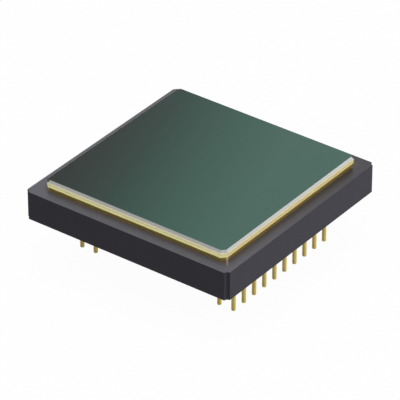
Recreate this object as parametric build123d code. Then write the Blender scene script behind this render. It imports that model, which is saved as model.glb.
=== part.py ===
from build123d import *
import os

# Ceramic body. Z = 0 is its underside, which the pins hang from
body_side = 25.8
body_height = 3.3
corner_notch = 0.4
index_chamfer = 0.6
wall_width = 2.9
opening_radius = 0.5

# Stepped cavity: a floor for the die and a shelf for the bond fingers
floor_thick = 1.3
well_depth = 0.7
shelf_width = 1.45
getter_shelf_width = 2.55
far_shelf_width = 1.15
well_radius = 0.3

# Pins, in two double columns along Y. The inset puts the columns on one grid, 11 and 9 spacings apart
pin_spacing = 1.778
pin_rows = 10
column_inset = 3.121
field_shift = 0.416
pin_diameter = 0.46
pin_reach = 5.165
head_across = 0.76
head_thick = 0.15
land_across = 1.15
land_thick = 0.05

# Seal stack, from the ceramic up to the window
ledge = 1.38
ring_inset = 0.1
rim_width = 1.2
ring_inner_corner = 0.4
braze_thick = 0.04
ring_thick = 0.4
frame_solder_thick = 0.03
frame_thick = 0.25
window_solder_thick = 0.04
window_solder_inset = 0.06

# Window with a bevelled edge, and the metal plated on its border and sides
window_thick = 0.416
bevel_out = 0.26
bevel_down = 0.22
bevel_corner = 0.38
plating_thick = 0.04
plating_border = 1.0

# Readout die and what lies on it
die_gap = 0.25
die_thick = 0.6
attach_thick = 0.05
attach_margin = 0.2
array_side_margin = 0.62
array_end_margin = 1.755
array_thick = 0.05

# Bond pads, bond fingers and the wires between them
bond_pitch = 0.75
bond_margin = 0.7
print_thick = 0.02
pad_size = 0.3
pad_edge = 0.12
finger_length = 1.0
finger_width = 0.4
finger_edge = 0.2
wire_thick = 0.05
wire_width = 0.06
wire_foot = 0.18
wire_loop = 0.35
loop_rise_share = 0.25
loop_fall_share = 0.7

# Getter strip, held by its bare ends on two pads on the wide shelf
getter_end_gap = 1.2
getter_width = 1.6
getter_thick = 0.35
getter_tab_thick = 0.1
getter_tab_width = 0.8
getter_lift = 0.15
getter_step = 0.3
getter_foot = 1.0

# Heights, each stacked on the one below
shelf_z = floor_thick + well_depth
ring_braze_top = body_height + braze_thick
ring_top = ring_braze_top + ring_thick
frame_bottom = ring_top + frame_solder_thick
frame_top = frame_bottom + frame_thick
plating_bottom = frame_top + window_solder_thick
window_bottom = plating_bottom + plating_thick
window_top = window_bottom + window_thick
bevel_foot = window_top - bevel_down
attach_top = floor_thick + attach_thick
die_top = attach_top + die_thick
print_top = shelf_z + print_thick

# Widths, each worked out from the one around it
frame_side = body_side - 2 * ledge
ring_side = frame_side - 2 * ring_inset
ring_inner_side = ring_side - 2 * rim_width
opening_side = body_side - 2 * wall_width
well_width = opening_side - 2 * shelf_width
well_far_y = opening_side / 2 - getter_shelf_width
well_near_y = far_shelf_width - opening_side / 2
well_length = well_far_y - well_near_y
well_y = (well_far_y + well_near_y) / 2
die_width = well_width - 2 * die_gap
die_length = well_length - 2 * die_gap
array_width = die_width - 2 * array_side_margin
array_length = die_length - 2 * array_end_margin
getter_y = (opening_side / 2 + well_far_y) / 2
getter_bar_end = opening_side / 2 - getter_end_gap - getter_foot - getter_step
# Each 45 degree corner grows by this share of the step when an outline is offset
corner_growth = 2 - 2 ** 0.5
frame_corner = bevel_corner + corner_growth * bevel_out

# Pin places: column letter, row number, x and y
outer_x = body_side / 2 - column_inset
inner_x = outer_x - pin_spacing
column_x = {"a": -outer_x, "b": -inner_x, "c": inner_x, "d": outer_x}
row_y = [field_shift + (row - (pin_rows - 1) / 2) * pin_spacing for row in range(pin_rows)]
pin_places = [(letter, row, x, y) for letter, x in column_x.items() for row, y in enumerate(row_y)]

# Bond places along Y, as many on each side as the die's edge has room for
bond_count = int((die_length - 2 * bond_margin) / bond_pitch) + 1
bond_y = [well_y + (i - (bond_count - 1) / 2) * bond_pitch for i in range(bond_count)]
pad_x = die_width / 2 - pad_edge - pad_size / 2
finger_x = opening_side / 2 - finger_edge - finger_length / 2


# A flat outline raised into a solid from a height
def slab(outline, bottom, thick):
    return extrude(Pos(0, 0, bottom) * outline, thick)


# A square with its four corners cut at 45 degrees
def clipped_square(side, leg):
    square = Rectangle(side, side)
    return chamfer(square.vertices(), leg)


# The frame's outline moved inwards by a step all round
def inset_outline(step):
    return clipped_square(frame_side - 2 * step, frame_corner - corner_growth * step)


# A flat square ring, its corners clipped outside and inside
def square_ring(inset, inner_side, bottom, thick):
    hole = clipped_square(inner_side, ring_inner_corner)
    return slab(inset_outline(inset) - hole, bottom, thick)


# A flat octagon, two of its sides along X and two along Y
def octagon(across):
    return RegularPolygon(across / 2, 8, major_radius=False, rotation=22.5)


# The eight-sided metal land that is printed under each pin
def land():
    return extrude(octagon(land_across), land_thick)


# Stacked ceramic with hollow corners, an index corner and a stepped cavity
def ceramic_body():
    half = body_side / 2
    outline = Rectangle(body_side, body_side)
    index_corner = outline.vertices().group_by(Axis.X)[0].sort_by(Axis.Y)[-1]
    outline = chamfer(index_corner, index_chamfer)
    for x, y in ((-half, -half), (half, -half), (half, half)):
        outline -= Pos(x, y) * Circle(corner_notch)
    body = extrude(outline, body_height)
    opening = RectangleRounded(opening_side, opening_side, opening_radius)
    body -= slab(opening, shelf_z, body_height - shelf_z)
    well = Pos(0, well_y) * RectangleRounded(well_width, well_length, well_radius)
    body -= slab(well, floor_thick, well_depth)
    return body - [Pos(x, y, 0) * land() for _, _, x, y in pin_places]


# Pin with a nail head that is brazed to its land
def pin():
    head = extrude(octagon(head_across), -head_thick)
    shank = extrude(Circle(pin_diameter / 2), -pin_reach)
    return head + shank


# The window's bevelled blank, with its plating still part of it
def bevelled_blank():
    blank = slab(inset_outline(0), plating_bottom, bevel_foot - plating_bottom)
    lower = Pos(0, 0, bevel_foot) * inset_outline(0)
    upper = Pos(0, 0, window_top) * inset_outline(bevel_out)
    return blank + loft([lower, upper], ruled=True)


# Infrared glass plate: the blank inside the plating
def window():
    inside = slab(inset_outline(plating_thick), window_bottom, window_thick)
    return bevelled_blank() & inside


# Metal plated round the blank's sides and on a border of its underside
def window_metal_rim():
    inside = slab(inset_outline(plating_thick), window_bottom, window_thick)
    hole = clipped_square(frame_side - 2 * plating_border, ring_inner_corner)
    return bevelled_blank() - inside - slab(hole, plating_bottom, plating_thick)


# One bond wire in the XZ plane: foot on the die pad, loop, foot on the finger
def bond_wire():
    low = die_top + print_thick + wire_thick / 2
    high = print_top + wire_thick / 2
    start = pad_x - pad_size / 2
    bend = start + wire_foot
    end = finger_x + wire_foot / 2
    landing = end - wire_foot
    span = landing - bend
    crest = high + wire_loop
    line = Polyline(
        (start, low),
        (bend, low),
        (bend + loop_rise_share * span, crest),
        (bend + loop_fall_share * span, high + wire_loop / 2),
        (landing, high),
        (end, high),
    )
    band = Plane.XZ * trace(line, wire_thick)
    return extrude(band, wire_width / 2, both=True)


# What is made for the right side, repeated along Y and mirrored to the left
def both_sides(piece):
    solids = []
    for y in bond_y:
        placed = Pos(0, y, 0) * piece
        solids += [placed.solid(), mirror(placed, Plane.YZ).solid()]
    return Compound(solids)


# Strip with bare end tabs that step down to their pads
def getter_strip():
    bar_bottom = print_top + getter_lift
    bar_middle = bar_bottom + getter_thick / 2
    foot_z = print_top + getter_tab_thick / 2
    bar = Pos(0, 0, bar_middle) * Box(2 * getter_bar_end, getter_width, getter_thick)
    line = Polyline(
        (getter_bar_end - getter_step, bar_middle),
        (getter_bar_end, bar_middle),
        (getter_bar_end + getter_step, foot_z),
        (getter_bar_end + getter_step + getter_foot, foot_z),
    )
    tab = extrude(Plane.XZ * trace(line, getter_tab_thick), getter_tab_width / 2, both=True)
    return Pos(0, getter_y, 0) * (bar + tab + mirror(tab, Plane.YZ))


# Printed pads under the getter's two feet
def getter_pads():
    x = getter_bar_end + getter_step + getter_foot / 2
    pad = Box(getter_foot + 2 * pad_edge, getter_tab_width + 2 * pad_edge, print_thick)
    z = shelf_z + print_thick / 2
    return Compound([(Pos(side * x, getter_y, z) * pad).solid() for side in (-1, 1)])


die_outline = Pos(0, well_y) * Rectangle(die_width, die_length)
attach_width = die_width - 2 * attach_margin
attach_length = die_length - 2 * attach_margin
attach_outline = Pos(0, well_y) * Rectangle(attach_width, attach_length)
pad_outline = Pos(pad_x, 0) * Rectangle(pad_size, pad_size)
finger_outline = Pos(finger_x, 0) * Rectangle(finger_length, finger_width)
lands = [(Pos(x, y, 0) * land()).solid() for _, _, x, y in pin_places]

# Every node, under the name of its file
nodes = {
    "ceramic_body": ceramic_body(),
    "pin_lands": Compound(lands),
    "seal_ring_braze": square_ring(ring_inset, ring_inner_side, body_height, braze_thick),
    "seal_ring": square_ring(ring_inset, ring_inner_side, ring_braze_top, ring_thick),
    "frame_solder": square_ring(ring_inset, ring_inner_side, ring_top, frame_solder_thick),
    "window_frame": square_ring(0, ring_inner_side, frame_bottom, frame_thick),
    "window_solder": square_ring(
        window_solder_inset, frame_side - 2 * plating_border, frame_top, window_solder_thick
    ),
    "window_metal_rim": window_metal_rim(),
    "window": window(),
    "die_attach": slab(attach_outline, floor_thick, attach_thick),
    "readout_die": slab(die_outline, attach_top, die_thick),
    "bolometer_array": slab(Pos(0, well_y) * Rectangle(array_width, array_length), die_top, array_thick),
    "die_pads": both_sides(slab(pad_outline, die_top, print_thick)),
    "bond_fingers": both_sides(slab(finger_outline, shelf_z, print_thick)),
    "bond_wires": both_sides(bond_wire()),
    "getter_pads": getter_pads(),
    "getter_strip": getter_strip(),
}
one_pin = pin()
for letter, row, x, y in pin_places:
    nodes[f"pin_{letter}{row + 1:02d}"] = Pos(x, y, 0) * one_pin

os.makedirs("parts", exist_ok=True)
for name, shape in nodes.items():
    export_step(shape, f"parts/{name}.step")
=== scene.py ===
import bpy
import math
from mathutils import Matrix, Vector


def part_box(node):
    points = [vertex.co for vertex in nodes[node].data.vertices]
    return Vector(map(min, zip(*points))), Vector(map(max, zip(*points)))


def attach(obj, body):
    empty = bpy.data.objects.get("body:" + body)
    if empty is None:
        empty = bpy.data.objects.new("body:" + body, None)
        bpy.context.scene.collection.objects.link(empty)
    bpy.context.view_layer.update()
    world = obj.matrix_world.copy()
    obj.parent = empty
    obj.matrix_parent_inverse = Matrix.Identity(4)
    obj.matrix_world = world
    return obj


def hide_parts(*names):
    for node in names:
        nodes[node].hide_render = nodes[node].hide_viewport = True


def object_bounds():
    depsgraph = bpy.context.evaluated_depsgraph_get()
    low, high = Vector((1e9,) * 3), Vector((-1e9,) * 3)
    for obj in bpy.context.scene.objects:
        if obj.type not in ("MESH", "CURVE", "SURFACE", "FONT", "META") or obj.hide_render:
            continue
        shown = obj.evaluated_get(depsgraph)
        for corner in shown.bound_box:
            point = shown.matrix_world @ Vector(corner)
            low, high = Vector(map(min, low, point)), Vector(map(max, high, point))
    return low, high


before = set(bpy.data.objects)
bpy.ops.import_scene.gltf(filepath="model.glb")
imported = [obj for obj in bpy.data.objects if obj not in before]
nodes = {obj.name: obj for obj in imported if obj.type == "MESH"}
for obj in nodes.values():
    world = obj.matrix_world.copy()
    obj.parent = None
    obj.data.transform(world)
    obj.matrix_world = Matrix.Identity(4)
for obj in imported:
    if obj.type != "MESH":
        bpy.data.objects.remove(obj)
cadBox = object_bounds()
mm = 0.001  # values below are in millimetres, and are brought to metres by this
touching = 0.0005  # points this near to each other count as one
white = (1.0, 1.0, 1.0)
black = (0.0, 0.0, 0.0)
evenly = (1.0, 1.0, 1.0)  # a noise that isn't stretched


# Shader maths: a socket that adds Math nodes when it is used in an expression
class Reading:
    def __init__(self, paint, socket):
        self.paint = paint
        self.socket = socket

    def maths(self, operation, first, second=0.0):
        node = self.paint.add("ShaderNodeMath", {"operation": operation}, {0: first, 1: second})
        return self.paint.read(node, "Value")

    def __add__(self, other):
        return self.maths("ADD", self, other)

    def __radd__(self, other):
        return self.maths("ADD", other, self)

    def __sub__(self, other):
        return self.maths("SUBTRACT", self, other)

    def __rsub__(self, other):
        return self.maths("SUBTRACT", other, self)

    def __mul__(self, other):
        return self.maths("MULTIPLY", self, other)

    def __rmul__(self, other):
        return self.maths("MULTIPLY", other, self)

    def __gt__(self, other):
        return self.maths("GREATER_THAN", self, other)

    def __lt__(self, other):
        return self.maths("LESS_THAN", self, other)

    def __abs__(self):
        return self.maths("ABSOLUTE", self)

    def larger(self, other):
        return self.maths("MAXIMUM", self, other)

    def clamped(self):
        return self.maths("MINIMUM", self.larger(0.0), 1.0)

    def per(self, length):  # how many of a length in millimetres
        return self * (1 / (length * mm))

    def onLines(self, pitch, halfWidth):  # 1 on each of many even lines, 0 between them
        shift = 1000 * pitch * mm  # whole pitches, which keep the reading above zero
        away = self.maths("PINGPONG", self + shift, pitch * mm / 2)
        return away < halfWidth * mm


# A colour for a socket: a reading is left as it is, and a tone gets its alpha
def opaque(colour):
    return colour if isinstance(colour, Reading) else (*colour, 1.0)


# A material or world, and the one method that adds a node to it
class Paint:
    def __init__(self, owner):
        self.owner = owner
        owner.use_nodes = True
        self.tree = owner.node_tree
        self.tree.nodes.clear()

    def add(self, kind, settings=None, sockets=None):
        node = self.tree.nodes.new(kind)
        for key, value in (settings or {}).items():
            if key == "stops":
                self.setStops(node.color_ramp, value)
            else:
                setattr(node, key, value)
        for key, value in (sockets or {}).items():
            if isinstance(value, Reading):
                self.tree.links.new(value.socket, node.inputs[key])
            else:
                node.inputs[key].default_value = value
        return node

    def setStops(self, ramp, stops):
        while len(ramp.elements) > 1:
            ramp.elements.remove(ramp.elements[-1])
        for i, (place, colour) in enumerate(stops):
            element = ramp.elements[0] if i == 0 else ramp.elements.new(place)
            element.position = place
            element.color = opaque(colour)

    def read(self, node, output=0):
        return Reading(self, node.outputs[output])

    def coordinates(self, kind):
        return self.read(self.add("ShaderNodeTexCoord"), kind)

    def axes(self, kind):
        split = self.add("ShaderNodeSeparateXYZ", {}, {"Vector": self.coordinates(kind)})
        return [self.read(split, axis) for axis in "XYZ"]

    def place(self):
        return self.axes("Object")

    def normals(self):
        return self.axes("Normal")

    def normalZ(self):
        return self.normals()[2]

    def noise(self, size, detail=3.0, rough=0.5, stretch=evenly):
        place = self.coordinates("Object")
        mapping = self.add("ShaderNodeMapping", {}, {"Vector": place, "Scale": stretch})
        node = self.add("ShaderNodeTexNoise", {}, {
            "Vector": self.read(mapping, "Vector"),
            "Scale": 1 / (size * mm),
            "Detail": detail,
            "Roughness": rough,
        })
        return self.read(node, "Fac")

    def ramp(self, factor, stops):
        node = self.add("ShaderNodeValToRGB", {"stops": stops}, {"Fac": factor})
        return self.read(node, "Color")

    def mix(self, factor, first, second):  # a Mix node's colours are sockets 6 and 7, and output 2
        sockets = {0: factor, 6: opaque(first), 7: opaque(second)}
        return self.read(self.add("ShaderNodeMix", {"data_type": "RGBA"}, sockets), 2)

    def bump(self, height, strength, depth):
        sockets = {"Height": height, "Strength": strength, "Distance": depth * mm}
        return self.read(self.add("ShaderNodeBump", {}, sockets), "Normal")

    def blend(self, factor, first, second):
        return self.read(self.add("ShaderNodeMixShader", {}, {0: factor, 1: first, 2: second}))

    def seenDirectly(self):  # 1 for what the camera, a reflection or a clear piece shows
        path = self.add("ShaderNodeLightPath")
        rays = ("Is Camera Ray", "Is Glossy Ray", "Is Transmission Ray")
        seen, mirrored, through = [self.read(path, name) for name in rays]
        return (seen + mirrored + through).clamped()

    def output(self, kind, surface):
        self.add(kind, {}, {"Surface": surface})
        return self.owner

    def finish(self, sockets):
        shader = self.add("ShaderNodeBsdfPrincipled", {}, sockets)
        return self.output("ShaderNodeOutputMaterial", self.read(shader, "BSDF"))


def newPaint(name):
    return Paint(bpy.data.materials.new(name))


# Two close tones of one colour, mixed by a noise
def mottled(paint, tones, size):
    return paint.mix(paint.noise(size), *tones)


def dress(names, material):
    for name in names:
        slots = nodes[name].data.materials
        slots.clear()
        slots.append(material)


# Where a clipped outline's straight side ends, read off the node's own corner points
def straightEnd(name):
    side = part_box(name)[1].y - touching * mm
    return max(point.co.x for point in nodes[name].data.vertices if point.co.y > side)


# Camera: the photo's view, from a fit to the object's edges
camera = {
    "azimuth": 36.715,
    "elevation": 32.737,
    "distance": 379.47,
    "across": -0.0996,
    "up": 0.400,
    "lens": 329.45,
    "sensor": 36.0,
    "clipStart": 10.0,
}


def addCamera(v):
    az = math.radians(v["azimuth"])
    el = math.radians(v["elevation"])
    toward = Vector((math.sin(az) * math.cos(el), -math.cos(az) * math.cos(el), math.sin(el)))
    right = Vector((math.cos(az), math.sin(az), 0.0))
    up = toward.cross(right)
    data = bpy.data.cameras.new("camera")
    data.lens = v["lens"]
    data.sensor_width = v["sensor"]
    data.clip_start = v["clipStart"] * mm
    item = bpy.data.objects.new("camera", data)
    bpy.context.scene.collection.objects.link(item)
    item.location = (right * v["across"] + up * v["up"] + toward * v["distance"]) * mm
    item.rotation_euler = Matrix((right, up, toward)).transposed().to_euler()
    bpy.context.scene.camera = item


addCamera(camera)
print("camera set")


# Painted highlight: a bright line is painted up the upright edge of the ring and of its fillet at
# +X -Y, with a short painted reflection of it on the ledge that runs out from them. The reach up
# the edge is in lengths of that reflection
paintedGlint = {
    "glintTone": (0.82, 0.70, 0.42),
    "glintShare": 0.85,
    "glintReach": 0.3,
    "matt": 0.6,
    "traceTone": (0.42, 0.38, 0.32),
    "glintReflectionShare": 0.9,
    "toward": (0.598, -0.801),
    "length": 0.9,
    "halfWidth": 0.13,
    "fade": 1.2,
}


# How far a point is from the highlighted edge: across its painted reflection in half widths, along
# it in lengths
def fromEdge(paint, v):
    x, y, _ = paint.place()
    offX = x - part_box("seal_ring")[1].x
    offY = y + straightEnd("seal_ring")
    towardX, towardY = v["toward"]
    across = abs(offX * towardY - offY * towardX).per(v["halfWidth"])
    along = (offX * towardX + offY * towardY).per(v["length"])
    return across, along


# Painted highlight up the ring's upright edge at +X -Y
def glintOnEdge(paint, v):
    across, along = fromEdge(paint, v)
    return (1 - across).clamped() * (abs(along) < v["glintReach"])


# Painted reflection of that highlight on the ledge, fading as it runs out
def glintReflectionOnLedge(paint, v):
    across, along = fromEdge(paint, v)
    fading = (v["fade"] - along).clamped()
    return (1 - across).clamped() * fading * (along > 0.0) * (along < 1.0)


# Ceramic: nearly black, as fired, with faint tape layers on its upright sides. Its top is lapped to
# a soft gloss, with painted shade that darkens it towards +X +Y, and a painted reflection of the
# gold with painted shade beside the ring
ceramic = {
    "tones": ((0.0305, 0.0290, 0.0360), (0.0350, 0.0335, 0.0410)),
    "patch": 0.7,
    "grain": 0.11,
    "grainDetail": 4.0,
    "roughness": (0.42, 0.55),
    "specular": 0.055,
    "bumpStrength": 0.25,
    "bumpDepth": 0.004,
    "upright": 0.5,
    "layer": 0.55,
    "layerLine": 0.012,
    "layerShade": 0.88,
    "layerGroove": 0.6,
    "lappedTones": ((0.091, 0.090, 0.114), (0.105, 0.103, 0.130)),
    "lapLevel": 0.99,
    "lapBelow": 0.1,
    "paintedShade": 0.63,
    "goldReflection": (0.105, 0.075, 0.045),
    "goldReflectionShare": 0.5,
    "goldReflectionReach": 0.53,
    "gloss": 0.57,
    "glossRoughness": 0.22,
    "glossIor": 1.5,
}


def lappedTone(paint, v):
    x, y, _ = paint.place()
    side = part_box("ceramic_body")[1].x
    # Painted shade: the lapped top darkens towards +X +Y
    paintedShade = ((x + y) * (0.5 / side)).clamped() * v["paintedShade"]
    tone = paint.mix(paintedShade, mottled(paint, v["lappedTones"], v["patch"]), black)
    # Painted reflection of the gold and painted shade on the ledge beside the ring
    fromRing = abs(x).larger(abs(y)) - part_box("seal_ring")[1].x
    reflectedGold = (1 - fromRing.per(v["goldReflectionReach"])).clamped()
    tone = paint.mix(reflectedGold * v["goldReflectionShare"], tone, v["goldReflection"])
    # Painted reflection of the edge highlight on the ledge
    return paint.mix(glintReflectionOnLedge(paint, paintedGlint) * paintedGlint["glintReflectionShare"], tone, paintedGlint["traceTone"])


def ceramicPaint(v):
    paint = newPaint("dark_ceramic_paint")
    z = paint.place()[2]
    grain = paint.noise(v["grain"], v["grainDetail"])
    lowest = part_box("ceramic_body")[1].z - v["lapBelow"] * mm
    lapped = (paint.normalZ() > v["lapLevel"]) * (z > lowest)
    fired = mottled(paint, v["tones"], v["patch"])
    tone = paint.mix(lapped, fired, lappedTone(paint, v))
    line = z.onLines(v["layer"], v["layerLine"]) * (abs(paint.normalZ()) < v["upright"])
    lineTone = [share * v["layerShade"] for share in v["tones"][0]]
    low, high = v["roughness"]
    relief = grain - line * v["layerGroove"]
    return paint.finish({
        "Base Color": paint.mix(line, tone, lineTone),
        "Roughness": grain * (high - low) + low,
        "Specular IOR Level": v["specular"],
        "Coat Weight": lapped * v["gloss"],
        "Coat Roughness": v["glossRoughness"],
        "Coat IOR": v["glossIor"],
        "Normal": paint.bump(relief, v["bumpStrength"], v["bumpDepth"]),
    })


# Window: infrared glass under a green coating, with a painted sheen that runs from dark at -X to
# green at +X.
# Its bevels are ground and bare, and painted shade darkens those that face -X and +Y
glass = {
    "coatingAndSheen": (
        (0.000, (0.024, 0.032, 0.030)),
        (0.226, (0.030, 0.056, 0.047)),
        (0.372, (0.037, 0.082, 0.065)),
        (0.500, (0.044, 0.102, 0.080)),
        (0.640, (0.054, 0.118, 0.093)),
        (0.770, (0.064, 0.133, 0.107)),
        (1.000, (0.065, 0.135, 0.108)),
    ),
    "sheenSweep": (0.9578, 0.2863),
    "reach": 12.7,
    "cloud": 2.5,
    "cloudSpread": 0.02,
    "flatTop": 0.95,
    "roughness": 0.12,
    "bevel": ((0.43, 0.435, 0.415), (0.48, 0.485, 0.465)),
    "bevelPatch": 0.25,
    "bevelRoughness": 0.5,
    "bevelShade": (0.085, 0.090, 0.088),
    "shadeFrom": (-0.707, 0.707),
    "shadeReach": -0.2,
    "grit": 0.03,
    "gritSpread": 0.06,
    "detail": 2.0,
}


# Where painted shade falls: the sides that face -X and +Y, and the corners beside them
def bevelShade(paint, v):
    x, y, _ = paint.normals()
    fromX, fromY = v["shadeFrom"]
    return (x * fromX + y * fromY) > v["shadeReach"]


def glassPaint(v):
    paint = newPaint("coated_germanium_paint")
    x, y, _ = paint.place()
    sweepX, sweepY = v["sheenSweep"]
    # Painted sheen: the coating's colour ramps from dark to green across the window, towards +X
    along = (x * sweepX + y * sweepY).per(2 * v["reach"]) + 0.5  # 0 to 1 over the window
    cloud = paint.noise(v["cloud"], v["detail"]) * v["cloudSpread"] - v["cloudSpread"] / 2
    coatAndSheen = paint.ramp(along + cloud, v["coatingAndSheen"])
    coated = paint.normalZ() > v["flatTop"]
    # The ground bevels, with painted shade on those that face -X and +Y
    slope = paint.mix(bevelShade(paint, v), mottled(paint, v["bevel"], v["bevelPatch"]), v["bevelShade"])
    grit = paint.noise(v["grit"], v["detail"]) * v["gritSpread"]
    return paint.finish({
        "Base Color": paint.mix(coated, slope, coatAndSheen),
        "Metallic": coated,
        "Specular IOR Level": 0.0,
        "Roughness": coated * (v["roughness"] - v["bevelRoughness"]) + v["bevelRoughness"] + grit,
    })


# Metals: each has two tones, how metallic and how rough it is. Round the window there is also a
# redder tone, which the gold leans to on the X sides. The pins' grain is stretched by drawing
metals = {
    "rim": {
        "tones": ((0.95, 0.90, 0.62), (1.0, 0.95, 0.67)),
        "sideTone": (0.94, 0.70, 0.32),
        "metal": 0.78,
        "roughness": 0.75,
    },
    "frame": {
        "tones": ((0.98, 0.95, 0.57), (1.0, 0.98, 0.61)),
        "sideTone": (1.0, 0.71, 0.29),
        "metal": 0.95,
        "roughness": 0.85,
    },
    # The ring's tones are much darker than the frame's gold: painted shade, standing in for the
    # dark ledge that its walls mirror
    "ring": {
        "tones": ((0.42, 0.33, 0.09), (0.49, 0.39, 0.11)),
        "sideTone": (0.34, 0.22, 0.04),
        "metal": 0.8,
        "roughness": 0.40,
    },
    "fillet": {
        "tones": ((0.24, 0.18, 0.06), (0.28, 0.22, 0.08)),
        "metal": 0.9,
        "roughness": 0.6,
    },
    "pin": {
        "tones": ((0.50, 0.39, 0.088), (0.58, 0.45, 0.104)),
        "metal": 0.22,
        "roughness": 0.42,
        "specular": 0.2,
        "drawn": (12.0, 12.0, 0.6),
    },
    "land": {
        "tones": ((0.58, 0.46, 0.20), (0.66, 0.52, 0.24)),
        "metal": 1.0,
        "roughness": 0.45,
    },
    "solder": {
        "tones": ((0.42, 0.35, 0.16), (0.50, 0.42, 0.20)),
        "metal": 1.0,
        "roughness": 0.5,
    },
    "braze": {
        "tones": ((0.40, 0.38, 0.32), (0.50, 0.47, 0.40)),
        "metal": 1.0,
        "roughness": 0.48,
    },
}

# What all of them share. A face that looks along X by more than sideFrom counts as an X side
plating = {
    "patch": 0.6,
    "grain": 0.05,
    "grainDetail": 4.0,
    "roughSpread": 0.12,
    "specular": 0.5,
    "bumpStrength": 0.15,
    "bumpDepth": 0.002,
    "sideFrom": 0.8,
    "sideShare": 0.42,
}

# The rim's slope is ground like the bevel above it, painted shade darkens its corners, all but the
# one at
# +X -Y, and solder has crept up its foot
rimFinish = {
    "ground": 0.55,
    "sloped": 0.3,
    "crept": 0.2,
    "creptOnSide": 0.55,
    "creepHeight": 0.06,
    "corner": 0.3,
}


def onSide(paint):
    return abs(paint.normals()[0]) > plating["sideFrom"]


def rimTone(paint, tone, v):
    z = paint.place()[2]
    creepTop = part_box("window_metal_rim")[0].z + v["creepHeight"] * mm
    normalX, normalY, normalZ = paint.normals()
    ground = (normalZ > v["sloped"]) * v["ground"]
    crept = (z < creepTop) * (onSide(paint) * v["creptOnSide"] + v["crept"])
    corner = (abs(normalX) > v["corner"]) * (abs(normalY) > v["corner"])
    tone = paint.mix(ground, tone, glass["bevel"][0])
    tone = paint.mix(crept, tone, metals["solder"]["tones"][0])
    # Painted shade on the rim's corners beside the shaded bevels
    return paint.mix(corner * bevelShade(paint, glass), tone, glass["bevelShade"])


def metalPaint(name, v):
    paint = newPaint(name + "_metal_paint")
    stretch = v.get("drawn", evenly)
    grain = paint.noise(plating["grain"] * stretch[0], plating["grainDetail"], stretch=stretch)
    tone = mottled(paint, v["tones"], plating["patch"])
    metal = v["metal"]
    if "sideTone" in v:
        tone = paint.mix(onSide(paint) * plating["sideShare"], tone, v["sideTone"])
    if name == "rim":
        tone = rimTone(paint, tone, rimFinish)
    if name in ("ring", "fillet"):
        # Painted highlight up the upright edge at +X -Y, made less metallic so that it stays bright
        edge = glintOnEdge(paint, paintedGlint)
        tone = paint.mix(edge * paintedGlint["glintShare"], tone, paintedGlint["glintTone"])
        metal = (1 - edge * paintedGlint["matt"]) * metal
    spread = plating["roughSpread"]
    return paint.finish({
        "Base Color": tone,
        "Metallic": metal,
        "Specular IOR Level": v.get("specular", plating["specular"]),
        "Roughness": grain * spread + (v["roughness"] - spread / 2),
        "Normal": paint.bump(grain, plating["bumpStrength"], plating["bumpDepth"]),
    })


metalPaints = {name: metalPaint(name, values) for name, values in metals.items()}
dress(["ceramic_body"], ceramicPaint(ceramic))
dress(["window"], glassPaint(glass))
dress(["window_metal_rim"], metalPaints["rim"])
dress(["window_frame"], metalPaints["frame"])
dress(["seal_ring"], metalPaints["ring"])
dress(["pin_lands", "bond_fingers", "getter_pads"], metalPaints["land"])
dress(["window_solder", "frame_solder"], metalPaints["solder"])
dress(["seal_ring_braze"], metalPaints["braze"])
print("outside dressed")


# Readout die: polished silicon, with rows of its circuit on top
silicon = {
    "tones": ((0.20, 0.21, 0.24), (0.26, 0.27, 0.31)),
    "patch": 1.2,
    "level": 0.5,
    "row": 0.11,
    "line": 0.008,
    "traceTone": (0.42, 0.40, 0.36),
    "metal": 0.3,
    "traceMetal": 0.6,
    "roughness": 0.45,
    "polish": 0.25,
    "haze": 0.3,
    "hazeSpread": 0.1,
    "bumpStrength": 0.3,
    "bumpDepth": 0.001,
}


def siliconPaint(v):
    paint = newPaint("silicon_paint")
    x, y, _ = paint.place()
    flat = paint.normalZ() > v["level"]
    rows = y.onLines(v["row"], v["line"]) * flat
    columns = x.onLines(v["row"] / 2, v["line"] / 2) * flat
    traces = (rows + columns).clamped()
    haze = paint.noise(v["haze"]) * v["hazeSpread"]
    return paint.finish({
        "Base Color": paint.mix(traces, mottled(paint, v["tones"], v["patch"]), v["traceTone"]),
        "Metallic": traces * v["traceMetal"] + v["metal"],
        "Roughness": haze + (v["roughness"] - flat * v["polish"]),
        "Normal": paint.bump(traces, v["bumpStrength"], v["bumpDepth"]),
    })


# Sensor array: a thin film with a sheen of two colours, cut into pixels by dark gaps
sensor = {
    "tones": ((0.12, 0.07, 0.17), (0.07, 0.12, 0.15)),
    "sheen": 6.0,
    "sheenDetail": 1.0,
    "pixel": 0.05,
    "gap": 0.004,
    "gapTone": (0.03, 0.03, 0.035),
    "metal": 0.5,
    "roughness": 0.25,
    "gapRoughness": 0.3,
    "bumpStrength": 0.4,
    "bumpDepth": 0.002,
}


def sensorPaint(v):
    paint = newPaint("sensor_film_paint")
    x, y, _ = paint.place()
    gaps = (x.onLines(v["pixel"], v["gap"]) + y.onLines(v["pixel"], v["gap"])).clamped()
    film = paint.mix(paint.noise(v["sheen"], v["sheenDetail"]), *v["tones"])
    return paint.finish({
        "Base Color": paint.mix(gaps, film, v["gapTone"]),
        "Metallic": v["metal"],
        "Roughness": gaps * v["gapRoughness"] + v["roughness"],
        "Normal": paint.bump(1 - gaps, v["bumpStrength"], v["bumpDepth"]),
    })


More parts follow.
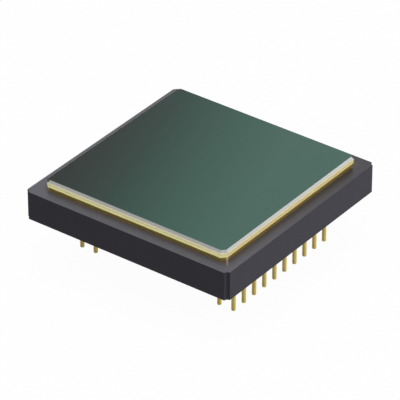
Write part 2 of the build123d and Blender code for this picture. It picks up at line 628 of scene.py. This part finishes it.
# Fine-grained finishes: the die's adhesive, its pads and the bond wires. First what they share
grained = {"grainDetail": 5.0, "grainRough": 0.65, "roughSpread": 0.15, "bumpStrength": 0.5}
grainy = {
    "die_adhesive": {
        "tones": ((0.30, 0.30, 0.31), (0.40, 0.40, 0.41)),
        "grain": 0.04,
        "metal": 0.2,
        "roughness": 0.6,
        "bumpDepth": 0.01,
    },
    "aluminium_film": {
        "tones": ((0.76, 0.76, 0.78), (0.84, 0.84, 0.86)),
        "grain": 0.02,
        "metal": 1.0,
        "roughness": 0.3,
        "bumpDepth": 0.001,
    },
    "bond_wire": {
        "tones": ((0.78, 0.78, 0.80), (0.86, 0.86, 0.88)),
        "grain": 0.015,
        "metal": 1.0,
        "roughness": 0.22,
        "bumpDepth": 0.001,
    },
}


def grainyPaint(name):
    v = {**grained, **grainy[name]}
    paint = newPaint(name + "_paint")
    grain = paint.noise(v["grain"], v["grainDetail"], v["grainRough"])
    return paint.finish({
        "Base Color": paint.mix(grain, *v["tones"]),
        "Metallic": v["metal"],
        "Roughness": grain * v["roughSpread"] + v["roughness"],
        "Normal": paint.bump(grain, v["bumpStrength"], v["bumpDepth"]),
    })


# Getter strip: rough sintered powder, and the smoother bare metal of its two end tabs
getter = {
    "tones": ((0.15, 0.15, 0.16), (0.26, 0.26, 0.27)),
    "grain": 0.05,
    "grainDetail": 6.0,
    "grainRough": 0.7,
    "metal": 0.4,
    "roughness": 0.85,
    "barEnd": 7.4,
    "tabTone": (0.52, 0.51, 0.49),
    "tabMetal": 0.6,
    "tabPolish": 0.45,
    "tabEvenness": 0.9,
    "bumpStrength": 0.8,
    "bumpDepth": 0.02,
}


def getterPaint(v):
    paint = newPaint("getter_metal_paint")
    grain = paint.noise(v["grain"], v["grainDetail"], v["grainRough"])
    tab = abs(paint.place()[0]) > v["barEnd"] * mm
    relief = grain * (1 - tab * v["tabEvenness"])
    return paint.finish({
        "Base Color": paint.mix(tab, paint.mix(grain, *v["tones"]), v["tabTone"]),
        "Metallic": tab * v["tabMetal"] + v["metal"],
        "Roughness": v["roughness"] - tab * v["tabPolish"],
        "Normal": paint.bump(relief, v["bumpStrength"], v["bumpDepth"]),
    })


dress(["readout_die"], siliconPaint(silicon))
dress(["bolometer_array"], sensorPaint(sensor))
dress(["die_attach"], grainyPaint("die_adhesive"))
dress(["die_pads"], grainyPaint("aluminium_film"))
dress(["bond_wires"], grainyPaint("bond_wire"))
dress(["getter_strip"], getterPaint(getter))
print("inside dressed")


# Fine edge breaks on the CAD nodes. Loose triangles are joined and the flat ones merged first
edgeBreaks = {
    "widths": {"ceramic_body": 0.02, "window": 0.015, "window_frame": 0.02, "seal_ring": 0.08},
    "steps": 3,
    "flatWithin": 1.0,
    "sharpFrom": 30.0,
}


def breakEdges(name, width, v):
    node = nodes[name]
    weld = node.modifiers.new("weld", "WELD")
    weld.merge_threshold = touching * mm
    clear = node.modifiers.new("clear", "DECIMATE")
    clear.decimate_type = "DISSOLVE"
    clear.angle_limit = math.radians(v["flatWithin"])
    edge = node.modifiers.new("edge", "BEVEL")
    edge.width = width * mm
    edge.segments = v["steps"]
    edge.limit_method = "ANGLE"
    edge.angle_limit = math.radians(v["sharpFrom"])


for name, width in edgeBreaks["widths"].items():
    breakEdges(name, width, edgeBreaks)
print("edges broken")


# New pieces are modelled in millimetres with operators. What one works on is picked by its place
def pick(piece, kind, test):
    bpy.ops.object.mode_set(mode="EDIT")
    bpy.ops.mesh.select_mode(type=kind)
    bpy.ops.mesh.select_all(action="DESELECT")
    bpy.ops.object.mode_set(mode="OBJECT")
    mesh = piece.data
    items = {"VERT": mesh.vertices, "EDGE": mesh.edges, "FACE": mesh.polygons}[kind]
    for item in items:
        ends = [item.index] if kind == "VERT" else item.vertices
        item.select = test([mesh.vertices[i].co for i in ends])
    bpy.ops.object.mode_set(mode="EDIT")


def started(primitive, **values):
    bpy.ops.object.select_all(action="DESELECT")
    primitive(**values)
    bpy.ops.object.transform_apply(location=True, rotation=True, scale=True)
    return bpy.context.object


def near(value, target):
    return abs(value - target) < touching


# Brings a finished piece from millimetres to metres, with its object at the origin
def settle(piece, name, smooth):
    bpy.ops.mesh.select_all(action="SELECT")
    bpy.ops.mesh.normals_make_consistent(inside=False)
    bpy.ops.object.mode_set(mode="OBJECT")
    bpy.ops.object.shade_smooth_by_angle(angle=math.radians(smooth))
    piece.data.transform(Matrix.Scale(mm, 4))
    piece.name = name
    piece.data.name = name


def join(piece, material):
    piece.data.materials.clear()
    piece.data.materials.append(material)
    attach(piece, "root")


def copied(piece, name, x, y):
    copy = piece.copy()
    copy.data = piece.data.copy()
    copy.name = name
    copy.data.name = name
    copy.data.transform(Matrix.Translation((x, y, 0.0)))
    bpy.context.scene.collection.objects.link(copy)
    return copy


# Pin: nail head, drawn shank and a rounded tip
pin = {
    "sides": 32,
    "radius": 0.23,
    "reach": 5.165,
    "tipRound": 0.09,
    "tipSteps": 4,
    "headRadius": 0.38,
    "headThick": 0.15,
    "headRound": 0.03,
    "neckRound": 0.04,
    "roundSteps": 2,
    "margin": 0.01,
    "smooth": 40.0,
}


def modelPin(v):
    head, reach = v["headThick"], v["reach"]
    rim = v["headRadius"] - v["margin"]
    neck = v["radius"] + v["margin"]
    piece = started(
        bpy.ops.mesh.primitive_cylinder_add,
        vertices=v["sides"],
        radius=v["headRadius"],
        depth=head,
        location=(0.0, 0.0, -head / 2),
    )
    pick(piece, "FACE", lambda points: all(near(p.z, -head) for p in points))
    # An inset is measured to the flats, and a radius to the corners
    flats = math.cos(math.pi / v["sides"])
    bpy.ops.mesh.inset(thickness=(v["headRadius"] - v["radius"]) * flats)
    bpy.ops.mesh.extrude_region_move(TRANSFORM_OT_translate={"value": (0.0, 0.0, head - reach)})
    pick(piece, "EDGE", lambda points: all(near(p.z, -reach) for p in points))
    bpy.ops.mesh.bevel(offset=v["tipRound"], segments=v["tipSteps"], affect="EDGES")
    pick(piece, "EDGE", lambda points: all(near(p.z, -head) and p.xy.length > rim for p in points))
    bpy.ops.mesh.bevel(offset=v["headRound"], segments=v["roundSteps"], affect="EDGES")
    pick(piece, "EDGE", lambda points: all(near(p.z, -head) and p.xy.length < neck for p in points))
    bpy.ops.mesh.bevel(offset=v["neckRound"], segments=v["roundSteps"], affect="EDGES")
    settle(piece, "gold_pin", v["smooth"])
    return piece


# Braze skirts, round each pin's head and along the foot of the ring
pinFillet = {
    "radius": 0.50,
    "base": -0.001,
    "steps": ((0.055, -0.025), (0.040, -0.045), (0.021, -0.055)),
    "smooth": 50.0,
}
ringFillet = {
    "width": 0.035,
    "steps": ((0.019, 0.006), (0.011, 0.009), (0.004, 0.012)),
    "clear": 0.002,
    "smooth": 50.0,
}


# A flat outline goes in and away by steps, then its middle is opened and its base closed
def modelSkirt(piece, base, name, v):
    reached = base
    for inwards, away in v["steps"]:
        bpy.ops.mesh.inset(thickness=inwards)
        bpy.ops.transform.translate(value=(0.0, 0.0, away))
        reached += away
    bpy.ops.mesh.extrude_region_move(TRANSFORM_OT_translate={"value": (0.0, 0.0, base - reached)})
    bpy.ops.mesh.delete(type="ONLY_FACE")
    pick(piece, "EDGE", lambda points: all(near(p.z, base) for p in points))
    bpy.ops.mesh.bridge_edge_loops()
    settle(piece, name, v["smooth"])
    return piece


def modelPinFillet(v):
    piece = started(
        bpy.ops.mesh.primitive_circle_add,
        vertices=pin["sides"],
        radius=v["radius"],
        fill_type="NGON",
        location=(0.0, 0.0, v["base"]),
    )
    pick(piece, "FACE", lambda points: True)
    return modelSkirt(piece, v["base"], "pin_braze", v)


# Its corners are clipped as the seal ring's are
def modelRingFillet(v):
    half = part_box("seal_ring")[1].x / mm
    flat = straightEnd("seal_ring") / mm
    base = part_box("ceramic_body")[1].z / mm
    width = v["width"] + v["clear"]
    side = 2 * (half + width)
    clip = half - flat + (2 - math.sqrt(2)) * width
    piece = started(bpy.ops.mesh.primitive_plane_add, size=side, location=(0.0, 0.0, base))
    pick(piece, "VERT", lambda points: True)
    bpy.ops.mesh.bevel(offset=clip, segments=1, affect="VERTICES")
    pick(piece, "FACE", lambda points: True)
    return modelSkirt(piece, base, "ring_braze_fillet", v)


pinNames = sorted(name for name in nodes if name.startswith("pin_") and name != "pin_lands")
onePin = modelPin(pin)
oneFillet = modelPinFillet(pinFillet)
for name in pinNames:
    low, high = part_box(name)
    middle = (low + high) / 2
    newPin = copied(onePin, "gold_" + name, middle.x, middle.y)
    join(newPin, metalPaints["pin"])
    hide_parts(name)
    newFillet = copied(oneFillet, "braze_" + name, middle.x, middle.y)
    join(newFillet, metalPaints["braze"])
for pattern in (onePin, oneFillet):
    bpy.data.objects.remove(pattern)
join(modelRingFillet(ringFillet), metalPaints["fillet"])
print("pins and braze modelled")


# Set: a pale floor that is clear from below, a bright surround and soft lamps
stageSet = {
    "floorSide": 900.0,
    "floorColour": (0.90, 0.90, 0.90),
    "floorWhite": 0.97,
    "surround": 0.46,
    "shown": 1.0,
    "lamps": {
        "top": {"toward": (0.0, 0.0, 1.0), "distance": 260.0, "size": 260.0, "watts": 0.32},
        "right": {"toward": (0.955, 0.29, 0.06), "distance": 150.0, "size": 24.0, "watts": 0.15},
    },
}


def addFloor(v):
    bpy.ops.object.select_all(action="DESELECT")
    bpy.ops.mesh.primitive_plane_add(size=v["floorSide"] * mm, location=(0, 0, cadBox[0].z))
    floor = bpy.context.object
    floor.name = "floor"
    paint = newPaint("floor_paint")
    matt = paint.add("ShaderNodeBsdfDiffuse", {}, {"Color": opaque(v["floorColour"])})
    bright = paint.add("ShaderNodeEmission", {}, {"Color": opaque(white), "Strength": v["shown"]})
    seen = paint.seenDirectly() * v["floorWhite"]
    both = paint.blend(seen, paint.read(matt), paint.read(bright))
    below = paint.read(paint.add("ShaderNodeNewGeometry"), "Backfacing")
    clear = paint.read(paint.add("ShaderNodeBsdfTransparent"))
    surface = paint.blend(below, both, clear)
    floor.data.materials.append(paint.output("ShaderNodeOutputMaterial", surface))


def addSurround(v):
    paint = Paint(bpy.data.worlds.new("surround"))
    light, shown = [
        paint.add("ShaderNodeBackground", {}, {"Color": opaque(white), "Strength": strength})
        for strength in (v["surround"], v["shown"])
    ]
    both = paint.blend(paint.seenDirectly(), paint.read(light), paint.read(shown))
    bpy.context.scene.world = paint.output("ShaderNodeOutputWorld", both)


def addLamp(name, v):
    data = bpy.data.lights.new(name, "AREA")
    data.size = v["size"] * mm
    data.energy = v["watts"]
    lamp = bpy.data.objects.new(name, data)
    toward = Vector(v["toward"]).normalized()
    lamp.location = toward * v["distance"] * mm
    lamp.rotation_euler = (-toward).to_track_quat("-Z", "Y").to_euler()
    lamp.visible_glossy = False
    bpy.context.scene.collection.objects.link(lamp)


addFloor(stageSet)
addSurround(stageSet)
for lampName, lampValues in stageSet["lamps"].items():
    addLamp(lampName, lampValues)
bpy.context.scene.view_settings.view_transform = "Standard"
print("set lit")
